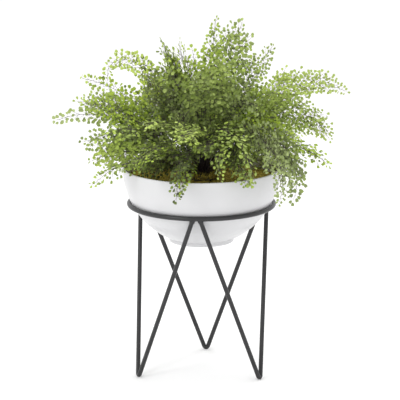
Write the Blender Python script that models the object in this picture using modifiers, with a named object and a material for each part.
"""Potted maidenhair fern in a white bowl, nested in a black wire stand on three hairpin legs.

Metres, +Z up. The origin is on the pot's axis, on the floor. -Y is the front.
"""

import math
import random

import bmesh
import bpy
import numpy as np
from mathutils import Vector
from mathutils.bvhtree import BVHTree

# Driving dimensions
RIM_HEIGHT = 0.425
BOWL_RADIUS = 0.160  # the bowl is half a ball, its centre level with the rim
BOWL_WALL = 0.004
BOWL_BASE = 0.007
FOOT_RING_RADIUS = 0.066
FOOT_RING_HEIGHT = 0.007
FOOT_RING_BEVEL = 0.0012
RING_RADIUS = 0.147
RING_TUBE = 0.0048
ROD_RADIUS = 0.0045
FOOT_RADIUS = 0.1425  # from the pot's axis to where each leg stands
STAND_TURN = math.radians(-4)
MOSS_DROP = 0.022  # from the rim down to the moss
CROWN_RADIUS = 0.040
CROWN_RISE = 0.014

GAP = 0.0003  # between pieces that touch
ROUND_STEPS = 48
MERGE_DISTANCE = 0.00001  # closes a turned shape's seam and poles, and a rod's caps
TURNED_SHARP_ANGLE = 35

# Stand
FOOT_FLAT = 0.0004  # taken off under each bend, where it rests
BEND_RADIUS = 0.0045
BEND_POINTS = 7
ROD_END_SPACING = 0.013  # between the two rod ends welded at each joint
RING_SIDES = 10
ROD_SHARP_ANGLE = 50  # degrees; keeps the coped ends and the foot flats crisp
LEG_HEADINGS = {"leg_back": 90, "leg_front_left": 210, "leg_front_right": 330}
FLOOR_CUTTER = (0.5, 0.5, 0.04)

# Planting
FILL_INSET = 0.0010  # keeps what fills the bowl clear of its wall's flat facets
MOSS_THICKNESS = 0.008
MOSS_SHOULDER = 0.003  # how far its edge is rounded in
MOSS_EDGE = 0.002  # its height at the edge
MOSS_LUMP = 0.0022
# Waves that make the moss's cushions: radians per metre along X and Y, and a phase
MOSS_WAVES = [(94, 21, 0.0), (-40, 137, 1.0), (61, 61, 2.0)]
CROWN_STEPS = 24

# Fronds
INNER_START = 0.12  # share of the crown's radius where an upright frond starts
OUTER_START = 0.90  # and where a level one would
START_CLEARANCE = 0.0006
STALK_RADIUS = 0.0009
STALK_SHARE = 0.34  # of a frond's length
STALK_THINNING = 0.5  # share of its radius that a stalk has lost at the tip
STALK_SECTIONS = 5
BLADE_SECTIONS = 9
BLADE_HALF_THICKNESS = 0.0007
BLADE_THINNING = 0.4
# The blade is widest where its outline v**BLUNT * (1 - v)**TAPER peaks, v going from 0 to 1
BLUNT = 0.45
TAPER = 0.85
PATH_STEPS = 240  # in the sum that bends a frond's middle line

# How a frond that touches another looks for room
FROND_CLEARANCE = 0.0005
MOST_TRIES = 400
TRIES_PER_STEP = 40  # tries in which a departure grows by one of these steps, in degrees
STEP_AZIMUTH = 2
STEP_LIFT = 1
STEP_DROOP = 1.5
STEP_ROLL = 3
STEP_START = 2
STEP_NARROWER = 0.07  # share of the width given up
STEEPEST = 89

# Fronds that give the plant its outline, chosen by hand: the way each leans (degrees from +X),
# its lift above the horizontal at the crown, its length (mm), how far it bends over (degrees) and
# how late (1 is evenly), how far it turns sideways and its blade is rolled (degrees), and its
# width (mm).
LEADING_FRONDS = [
    # upright ones at the top
    (20, 87, 302, 4, 1.5, 0, 100, 50),
    (40, 79, 305, 20, 1.5, 0, 75, 84),
    (20, 71, 282, 24, 1.5, 10, 100, 80),
    (166, 85, 258, 10, 1.5, 0, 20, 48),
    (160, 78, 264, 12, 1.5, -10, 25, 52),
    (108, 84, 246, 24, 1.5, 0, -30, 60),
    (-60, 82, 244, 20, 1.5, 0, -45, 86),
    (-135, 80, 240, 30, 1.5, 0, 65, 84),
    # the right side, from top to bottom
    (16, 60, 266, 34, 1.5, 0, 100, 84),
    (6, 66, 362, 94, 1.5, 6, 95, 72),
    (-12, 54, 314, 122, 2.2, -6, -100, 82),
    (-24, 40, 272, 80, 1.5, 6, 20, 56),
    (-38, 44, 265, 100, 1.5, 0, -85, 84),
    (-54, 52, 368, 168, 1.8, 6, -130, 64),
    (-8, 60, 232, 46, 1.5, 0, -105, 88),
    # the left side, from top to bottom
    (156, 65, 345, 175, 4.5, 0, -95, 62),
    (152, 52, 312, 46, 1.5, 8, -90, 62),
    (172, 50, 278, 50, 1.5, 0, -110, 84),
    (184, 48, 314, 68, 1.5, 0, 110, 68),
    (194, 36, 235, 44, 1.5, 0, 105, 80),
    (206, 33, 232, 54, 1.5, 4, 95, 72),
    (209, 28, 240, 66, 1.5, 0, -20, 50),
    # over the front of the rim, and towards the front above it
    (-64, 62, 300, 138, 1.5, 10, -20, 72),
    (-103, 48, 252, 132, 1.5, 0, 8, 66),
    (-80, 60, 246, 132, 1.5, 0, 40, 56),
    (-64, 34, 225, 74, 1.5, -8, 0, 50),
    (-92, 46, 285, 62, 1.5, 0, -8, 84),
    (-118, 40, 262, 64, 1.5, 0, 30, 78),
    # the back, which the same plant fills alike
    (62, 50, 290, 62, 1.5, 6, 50, 80),
    (94, 46, 272, 60, 1.5, 0, -10, 82),
    (122, 52, 290, 72, 1.5, -6, -50, 80),
    (78, 34, 250, 76, 1.5, 0, 20, 72),
    (136, 34, 262, 80, 1.5, 0, -60, 74),
    (40, 38, 270, 76, 1.5, 0, 60, 78),
]

# The fronds between them follow a rule: how many, and the ranges of lift, length (mm), droop and
# width (mm) of each tier.
TIERS = [
    (6, (68, 82), (200, 245), (20, 50), (68, 86)),
    (7, (46, 62), (190, 250), (50, 90), (64, 80)),
    (5, (24, 38), (160, 205), (40, 80), (54, 70)),
]
TIER_ONSET = 1.5
TIER_CURL = 8  # degrees either way
TIER_ROLL = 80
GOLDEN_ANGLE = 137.508
SEED = 7


def material(name, colour, roughness, metallic=0.0):
    made = bpy.data.materials.new(name)
    made.use_nodes = True
    shader = made.node_tree.nodes["Principled BSDF"]
    shader.inputs["Base Color"].default_value = (*colour, 1.0)
    shader.inputs["Roughness"].default_value = roughness
    shader.inputs["Metallic"].default_value = metallic
    return made


def add_object(name, data, finish, home):
    made = bpy.data.objects.new(name, data)
    data.materials.append(finish)
    home.objects.link(made)
    return made


def on_circle(radius, angle, height):
    return Vector((radius * math.cos(angle), radius * math.sin(angle), height))


def evaluated_mesh(source):
    bpy.context.view_layer.update()
    return bpy.data.meshes.new_from_object(
        source.evaluated_get(bpy.context.evaluated_depsgraph_get())
    )


def turned(name, profile, finish, home, steps=ROUND_STEPS):
    """A solid turned about Z from (radius, height) points down its outer side."""
    mesh = bpy.data.meshes.new(name)
    points = [(radius, 0.0, height) for radius, height in profile]
    edges = [(i, i + 1) for i in range(len(points) - 1)]
    mesh.from_pydata(points, edges, [])
    made = add_object(name, mesh, finish, home)
    screw = made.modifiers.new("Turn", "SCREW")
    screw.steps = screw.render_steps = steps
    screw.use_merge_vertices = True
    screw.merge_threshold = MERGE_DISTANCE
    made.data = evaluated_mesh(made)
    made.modifiers.clear()
    made.data.shade_smooth()
    made.data.set_sharp_from_angle(angle=math.radians(TURNED_SHARP_ANGLE))
    return made


def arc(radius, centre_height, first, last, points):
    """(radius, height) along a circle on the axis; angles in radians below the horizontal."""
    angles = np.linspace(first, last, points)
    return [
        (radius * math.cos(a), centre_height - radius * math.sin(a)) for a in angles
    ]


def make_bowl(finish, home):
    """A half-ball shell with a rounded rim and a short, plain foot ring."""
    foot = foot_ring_bottom()
    base = foot + BOWL_BASE
    inner_radius = BOWL_RADIUS - BOWL_WALL
    lip = BOWL_WALL / 2
    lip_centre = BOWL_RADIUS - lip
    around_lip = [
        (lip_centre + lip * math.sin(a), RIM_HEIGHT - lip + lip * math.cos(a))
        for a in np.radians([-45, 0, 45])
    ]
    outer_end = math.acos(FOOT_RING_RADIUS / BOWL_RADIUS)
    inner_end = math.asin((RIM_HEIGHT - base) / inner_radius)
    outside = arc(BOWL_RADIUS, RIM_HEIGHT, lip / BOWL_RADIUS, outer_end, 12)
    inside = arc(inner_radius, RIM_HEIGHT, lip / inner_radius, inner_end, 9)
    profile = [
        *around_lip[1:],
        *outside,
        (FOOT_RING_RADIUS, foot + FOOT_RING_BEVEL),
        (FOOT_RING_RADIUS - FOOT_RING_BEVEL, foot),
        (0.0, foot),
        (0.0, base),
        *inside[::-1],
        *around_lip[:2],
    ]
    turned("bowl", profile, finish, home)


def foot_ring_bottom():
    """Height of the bowl's underside."""
    wall_drop = math.sqrt(BOWL_RADIUS**2 - FOOT_RING_RADIUS**2)
    return RIM_HEIGHT - wall_drop - FOOT_RING_HEIGHT


def ring_height():
    """The ring carries the bowl where its tube meets the ball-shaped wall."""
    reach = BOWL_RADIUS + GAP + RING_TUBE
    return RIM_HEIGHT - math.sqrt(reach**2 - RING_RADIUS**2)


def make_ring(name, tube, home):
    bpy.ops.mesh.primitive_torus_add(
        major_radius=RING_RADIUS,
        minor_radius=tube,
        major_segments=ROUND_STEPS,
        minor_segments=RING_SIDES,
        location=(0, 0, ring_height()),
    )
    made = bpy.context.object
    made.name = name
    made.data.name = name
    made.data.shade_smooth()
    for home_now in list(made.users_collection):
        home_now.objects.unlink(made)
    home.objects.link(made)
    return made


def hairpin(standing, first_end, last_end):
    """Points of a rod that runs from one end, round a tight bend whose middle is at standing,
    and back up to the other end."""
    middle = (first_end + last_end) / 2
    upward = (middle - standing).normalized()
    half_spread = (first_end - last_end).length / 2
    past = 0.0  # how far the two straight runs would meet below the bend
    for _ in range(8):
        half_angle = math.atan(half_spread / ((middle - standing).length + past))
        past = BEND_RADIUS / math.sin(half_angle) - BEND_RADIUS
    centre = standing + upward * BEND_RADIUS
    across = (first_end - last_end).normalized()
    sweep = math.pi / 2 - half_angle
    bend = [
        centre + BEND_RADIUS * (across * math.sin(a) - upward * math.cos(a))
        for a in np.linspace(sweep, -sweep, BEND_POINTS)
    ]
    return [first_end, *bend, last_end]


def make_rod(name, points, finish, home):
    """A round bar along the points, as a closed mesh."""
    path = bpy.data.curves.new(name, "CURVE")
    path.dimensions = "3D"
    path.bevel_depth = ROD_RADIUS
    path.bevel_resolution = 3
    path.use_fill_caps = True
    spline = path.splines.new("POLY")
    spline.points.add(len(points) - 1)
    for made, point in zip(spline.points, points):
        made.co = (*point, 1.0)
    curve = add_object(name + "_path", path, finish, home)
    mesh = evaluated_mesh(curve)
    bpy.data.objects.remove(curve)
    mesh.name = name
    shape = bmesh.new()
    shape.from_mesh(mesh)
    bmesh.ops.remove_doubles(shape, verts=shape.verts, dist=MERGE_DISTANCE)
    bmesh.ops.recalc_face_normals(shape, faces=shape.faces)
    shape.to_mesh(mesh)
    shape.free()
    rod = bpy.data.objects.new(name, mesh)
    home.objects.link(rod)
    rod.data.shade_smooth()
    rod.data.set_sharp_from_angle(angle=math.radians(ROD_SHARP_ANGLE))
    return rod


def cut(piece, cutter):
    made = piece.modifiers.new("Cut " + cutter.name, "BOOLEAN")
    made.object = cutter
    made.operation = "DIFFERENCE"


def make_floor_cutter(cutters):
    """A slab whose top is the floor."""
    mesh = bpy.data.meshes.new("under_floor")
    shape = bmesh.new()
    bmesh.ops.create_cube(shape, size=1.0)
    bmesh.ops.scale(shape, vec=FLOOR_CUTTER, verts=shape.verts)
    shape.to_mesh(mesh)
    shape.free()
    made = bpy.data.objects.new("under_floor", mesh)
    made.location.z = -FLOOR_CUTTER[2] / 2
    cutters.objects.link(made)
    return made


def make_stand(finish, home, cutters):
    """The ring, and three hairpins whose ends stand side by side under it."""
    make_ring("stand_ring", RING_TUBE, home).data.materials.append(finish)
    cope = make_ring("ring_cope", RING_TUBE + GAP, cutters)
    floor = make_floor_cutter(cutters)
    for cutter in (cope, floor):
        cutter.hide_render = True
        cutter.display_type = "WIRE"
    half_spacing = ROD_END_SPACING / 2 / RING_RADIUS
    for name, degrees in LEG_HEADINGS.items():
        heading = math.radians(degrees) + STAND_TURN
        standing = on_circle(FOOT_RADIUS, heading, ROD_RADIUS - FOOT_FLAT)
        ends = [
            on_circle(RING_RADIUS, heading + side * (math.pi / 3 - half_spacing), ring_height())
            for side in (-1, 1)
        ]
        rod = make_rod(name, hairpin(standing, *ends), finish, home)
        cut(rod, cope)
        cut(rod, floor)


def crown_height(radius):
    """Height of the crown's top at this distance from the axis."""
    share = min(radius / CROWN_RADIUS, 1.0)
    return moss_height() + MOSS_LUMP + GAP + CROWN_RISE * (1 - share**2)


def moss_height():
    return RIM_HEIGHT - MOSS_DROP


def lump(x, y):
    """The moss's cushions: crossing waves, together at most MOSS_LUMP high or deep."""
    waves = [math.sin(kx * x + ky * y + phase) for kx, ky, phase in MOSS_WAVES]
    return MOSS_LUMP * sum(waves) / len(waves)


def fill_radius(height):
    """Radius of what fills the bowl, at this height."""
    inner = BOWL_RADIUS - BOWL_WALL - FILL_INSET
    return math.sqrt(inner**2 - (RIM_HEIGHT - height) ** 2)


def make_planting(soil_finish, moss_finish, crown_finish, home):
    """Potting mix up to the moss, a cushiony moss layer, and the crown that the stalks leave."""
    moss_under = moss_height() - MOSS_THICKNESS
    soil_top = moss_under - GAP
    soil_bottom = foot_ring_bottom() + BOWL_BASE + GAP
    heights = np.linspace(soil_top, soil_bottom, 9)
    profile = [(0.0, soil_top)] + [(fill_radius(h), h) for h in heights]
    turned("potting_soil", profile + [(0.0, soil_bottom)], soil_finish, home)

    edge = fill_radius(moss_under)
    radii = np.linspace(0.0, edge - MOSS_SHOULDER, 8)
    profile = [(r, moss_height()) for r in radii]
    profile += [(edge, moss_under + MOSS_EDGE), (edge, moss_under), (0.0, moss_under)]
    moss = turned("moss", profile, moss_finish, home)
    for vertex in moss.data.vertices:
        if vertex.co.z > moss_under + MOSS_THICKNESS / 2:
            vertex.co.z += lump(vertex.co.x, vertex.co.y)

    radii = np.linspace(0.0, CROWN_RADIUS, 6)
    profile = [(r, crown_height(r)) for r in radii]
    profile += [(0.0, crown_height(CROWN_RADIUS))]
    turned("crown", profile, crown_finish, home, steps=CROWN_STEPS)


def frond_sections(start, azimuth, lift, length, droop, onset, curl, roll, width, swell=0.0):
    """Four corners of each section from the stalk's foot to the blade's tip, (sections, 4, 3):
    the two edges and, between them, the upper and the lower face."""
    fine = np.linspace(0.0, 1.0, PATH_STEPS + 1)
    rise = np.radians(lift - droop * fine**onset)
    heading = np.radians(azimuth + curl * fine**2)
    along = np.stack(
        [np.cos(rise) * np.cos(heading), np.cos(rise) * np.sin(heading), np.sin(rise)], axis=1
    )
    steps = (along[1:] + along[:-1]) / 2 * (length / PATH_STEPS)
    path = np.concatenate([[np.zeros(3)], np.cumsum(steps, axis=0)]) + start

    stations = np.concatenate(
        [
            np.linspace(0.0, STALK_SHARE, STALK_SECTIONS),
            np.linspace(STALK_SHARE, 1.0, BLADE_SECTIONS + 1)[1:],
        ]
    )
    centre = np.stack([np.interp(stations, fine, path[:, k]) for k in range(3)], axis=1)
    tangent = np.stack([np.interp(stations, fine, along[:, k]) for k in range(3)], axis=1)
    tangent /= np.linalg.norm(tangent, axis=1)[:, None]
    turn = np.interp(stations, fine, heading)
    level = np.stack([-np.sin(turn), np.cos(turn), np.zeros_like(turn)], axis=1)
    upward = np.cross(tangent, level)
    tilt = math.radians(roll) * stations
    across = level * np.cos(tilt)[:, None] + upward * np.sin(tilt)[:, None]
    normal = np.cross(tangent, across)

    blade = np.clip((stations - STALK_SHARE) / (1 - STALK_SHARE), 0.0, 1.0)
    widest = BLUNT / (BLUNT + TAPER)
    peak = widest**BLUNT * (1 - widest) ** TAPER
    outline = blade**BLUNT * (1 - blade) ** TAPER / peak
    half_width = STALK_RADIUS * (1 - STALK_THINNING * stations) + width / 2 * outline + swell
    half_thick = BLADE_HALF_THICKNESS * (1 - BLADE_THINNING * stations) + swell
    edge = across * half_width[:, None]
    face = normal * half_thick[:, None]
    return np.stack([centre + edge, centre + face, centre - edge, centre - face], axis=1)


def frond_faces():
    """Triangles of the loft. Both faces of the blade share their diagonals, so that it stays
    thin where it twists: each runs from the middle of one section to the edge of the next."""
    count = STALK_SECTIONS + BLADE_SECTIONS
    faces = [(0, 1, 2), (0, 2, 3)]
    for i in range(count - 1):
        for side in range(4):
            a, b = 4 * i + side, 4 * i + (side + 1) % 4
            c, d = a + 4, b + 4
            if side % 2:  # from a face to an edge
                faces += [(a, d, b), (a, c, d)]
            else:
                faces += [(a, c, b), (b, c, d)]
    last = 4 * (count - 1)
    return faces + [(last, last + 2, last + 1), (last, last + 3, last + 2)]


def start_point(azimuth, lift):
    """Where on the crown a frond starts: the lower it leans, the nearer the edge."""
    radius = CROWN_RADIUS * (OUTER_START + (INNER_START - OUTER_START) * lift / 90)
    heading = math.radians(azimuth)
    foot = crown_height(radius) + GAP + STALK_RADIUS + START_CLEARANCE
    return np.array([radius * math.cos(heading), radius * math.sin(heading), foot])


def tree_of(points, faces):
    return BVHTree.FromPolygons([Vector(p) for p in points.reshape(-1, 3)], faces)


def obstacle_trees(names):
    trees = []
    for name in names:
        made = bpy.data.objects[name]
        mesh = evaluated_mesh(made)
        corners = [made.matrix_world @ v.co for v in mesh.vertices]
        trees.append(BVHTree.FromPolygons(corners, [tuple(p.vertices) for p in mesh.polygons]))
        bpy.data.meshes.remove(mesh)
    return trees


def wanted_fronds(dice):
    """Every frond's wish, in the order of LEADING_FRONDS's columns, the leading ones first."""
    wishes = [list(row) for row in LEADING_FRONDS]
    for count, lifts, lengths, droops, widths in TIERS:
        for i in range(count):
            azimuth = (len(wishes) * GOLDEN_ANGLE) % 360
            shape = [dice.uniform(*span) for span in (lifts, lengths, droops)]
            curl = dice.uniform(-TIER_CURL, TIER_CURL)
            roll = dice.uniform(-TIER_ROLL, TIER_ROLL)
            wishes.append([azimuth, *shape, TIER_ONSET, curl, roll, dice.uniform(*widths)])
    return wishes


def place_fronds(blocked):
    """The sections of each frond. Each takes the first of its tries that touches no other:
    the wish itself, then ever wider departures from it."""
    dice = random.Random(SEED)
    faces = frond_faces()
    taken = list(blocked)
    placed = []
    for wish in wanted_fronds(dice):
        for attempt in range(MOST_TRIES):
            stray = attempt / TRIES_PER_STEP
            azimuth, lift, length, droop, onset, curl, roll, width = wish
            azimuth += dice.uniform(-STEP_AZIMUTH, STEP_AZIMUTH) * stray
            lift = min(lift + dice.uniform(-STEP_LIFT, STEP_LIFT) * stray, STEEPEST)
            droop += dice.uniform(-STEP_DROOP, STEP_DROOP) * stray
            roll += dice.uniform(-STEP_ROLL, STEP_ROLL) * stray
            start = start_point(azimuth + dice.uniform(-STEP_START, STEP_START) * stray, lift)
            width *= 1 - STEP_NARROWER * stray
            bends = (droop, onset, curl, roll)
            shape = (start, azimuth, lift, length / 1000, *bends, width / 1000)
            swollen = tree_of(frond_sections(*shape, swell=FROND_CLEARANCE), faces)
            if not any(swollen.overlap(other) for other in taken):
                sections = frond_sections(*shape)
                taken.append(tree_of(sections, faces))
                placed.append(sections)
                break
        else:
            raise RuntimeError(f"no room for the frond {wish}")
    return placed


def make_fronds(finish, home):
    """One closed loft for each frond: a thin round stalk that widens into a flat blade."""
    faces = frond_faces()
    blocked = obstacle_trees(["bowl", "stand_ring", "moss", "crown"])
    for number, sections in enumerate(place_fronds(blocked), 1):
        name = f"frond_{number:02d}"
        mesh = bpy.data.meshes.new(name)
        mesh.from_pydata(sections.reshape(-1, 3).tolist(), [], faces)
        shape = bmesh.new()
        shape.from_mesh(mesh)
        bmesh.ops.recalc_face_normals(shape, faces=shape.faces)
        shape.to_mesh(mesh)
        shape.free()
        add_object(name, mesh, finish, home)


def main():
    for left in list(bpy.data.objects):
        bpy.data.objects.remove(left)
    scene = bpy.context.scene.collection
    parts = bpy.data.collections.new("potted_fern")
    cutters = bpy.data.collections.new("cutters")
    scene.children.link(parts)
    scene.children.link(cutters)
    black = material("black_powder_coat", (0.035, 0.035, 0.037), 0.5)
    white = material("white_glaze", (0.82, 0.82, 0.82), 0.35)
    soil = material("potting_mix", (0.045, 0.030, 0.020), 0.95)
    moss = material("moss", (0.075, 0.065, 0.012), 0.95)
    crown = material("crown_fibre", (0.050, 0.035, 0.022), 0.9)
    leaf = material("fern_leaf", (0.16, 0.28, 0.05), 0.55)
    make_stand(black, parts, cutters)
    make_bowl(white, parts)
    make_planting(soil, moss, crown, parts)
    make_fronds(leaf, parts)


main()
